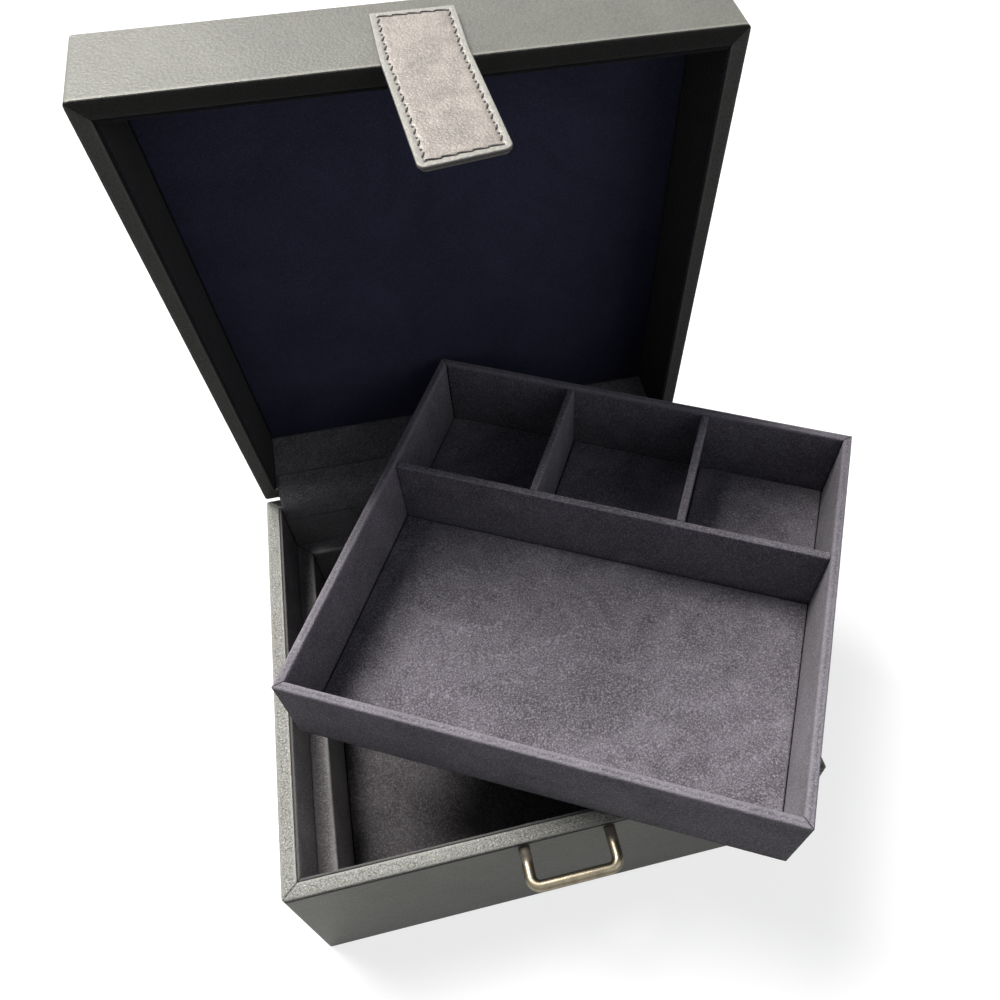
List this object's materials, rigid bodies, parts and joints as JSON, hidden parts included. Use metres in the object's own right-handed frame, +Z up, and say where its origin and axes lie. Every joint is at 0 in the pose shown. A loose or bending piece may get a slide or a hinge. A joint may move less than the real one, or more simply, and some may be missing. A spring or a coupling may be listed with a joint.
{
  "type": "jewellery box",
  "caption": "Leather-covered jewellery box with a hinged lid, closing strap, brass staple and a suede lift-out tray with compartments.",
  "frame": {"origin": "middle of the case underside, on the table", "axes": "+X right, +Y to the hinges at the back, +Z up"},
  "size_m": [0.2685, 0.266, 0.2729],
  "materials": {
    "box_leather": "pewter metallic leather, fine grain, soft sheen",
    "strap_leather": "pearly grey leather, mottled, dark stitching",
    "strap_backing": "plain grey leather",
    "board": "fibreboard",
    "case_suede": "dark grey suede",
    "lid_suede": "very dark navy suede",
    "tray_suede": "charcoal suede with a brushed nap",
    "base_felt": "black felt",
    "antique_brass": "antique, polished on the high spots",
    "hinge_brass": "satin",
    "steel": "satin"
  },
  "bodies": {
    "case": {"case_back_board": "board", "case_back_lining": "case_suede", "case_back_rim": "box_leather", "case_base_board": "board", "case_base_sheet": "base_felt", "case_floor_pad": "case_suede", "case_front_board": "board", "case_front_lining": "case_suede", "case_front_rim": "box_leather", "case_leather": "box_leather", "case_left_board": "board", "case_left_lining": "case_suede", "case_left_rim": "box_leather", "case_right_board": "board", "case_right_lining": "case_suede", "case_right_rim": "box_leather", "gusset_case_band": "case_suede", "hinge_case_leaves": "hinge_brass", "hinge_case_screws": "steel", "hinge_pins": "steel", "ledge_back": "case_suede", "ledge_front": "case_suede", "ledge_left": "case_suede", "ledge_right": "case_suede", "staple": "antique_brass", "staple_nuts": "antique_brass", "staple_washers": "antique_brass"},
    "lid": {"gusset_lid_band": "case_suede", "hinge_lid_leaves": "hinge_brass", "hinge_lid_screws": "steel", "lid_back_board": "board", "lid_back_lining": "lid_suede", "lid_back_rim": "box_leather", "lid_front_board": "board", "lid_front_lining": "lid_suede", "lid_front_rim": "box_leather", "lid_leather": "box_leather", "lid_left_board": "board", "lid_left_lining": "lid_suede", "lid_left_rim": "box_leather", "lid_panel": "lid_suede", "lid_right_board": "board", "lid_right_lining": "lid_suede", "lid_right_rim": "box_leather", "lid_top_board": "board", "strap_anchor": "strap_leather"},
    "strap": {"strap_backing": "strap_backing", "strap_outer_leather": "strap_leather"},
    "tray": {"tray_back_wall": "tray_suede", "tray_base": "tray_suede", "tray_base_sheet": "tray_suede", "tray_front_wall": "tray_suede", "tray_large_pad": "tray_suede", "tray_left_divider": "tray_suede", "tray_left_wall": "tray_suede", "tray_long_divider": "tray_suede", "tray_right_divider": "tray_suede", "tray_right_wall": "tray_suede", "tray_small_pads": "tray_suede"}
  },
  "joints": [
    {"name": "lid_hinge", "type": "hinge", "parent": "case", "child": "lid", "pos_m": [0, 0.0991, 0.0712], "axis": [1, 0, 0], "range_deg": [0, 82.7]},
    {"name": "strap_flex", "type": "hinge", "parent": "lid", "child": "strap", "pos_m": [0, 0.07342, 0.26849], "axis": [-1, 0, 0], "range_deg": [0, 40]},
    {"name": "tray_lift", "type": "slide", "parent": "case", "child": "tray", "axis": [0, -0.995, 0.0995], "range_m": [0, 0.42]}
  ],
  "couplings": [
    {"joint": "tray_lift", "follows": "lid_hinge", "m_per_rad": 0.2909}
  ]
}
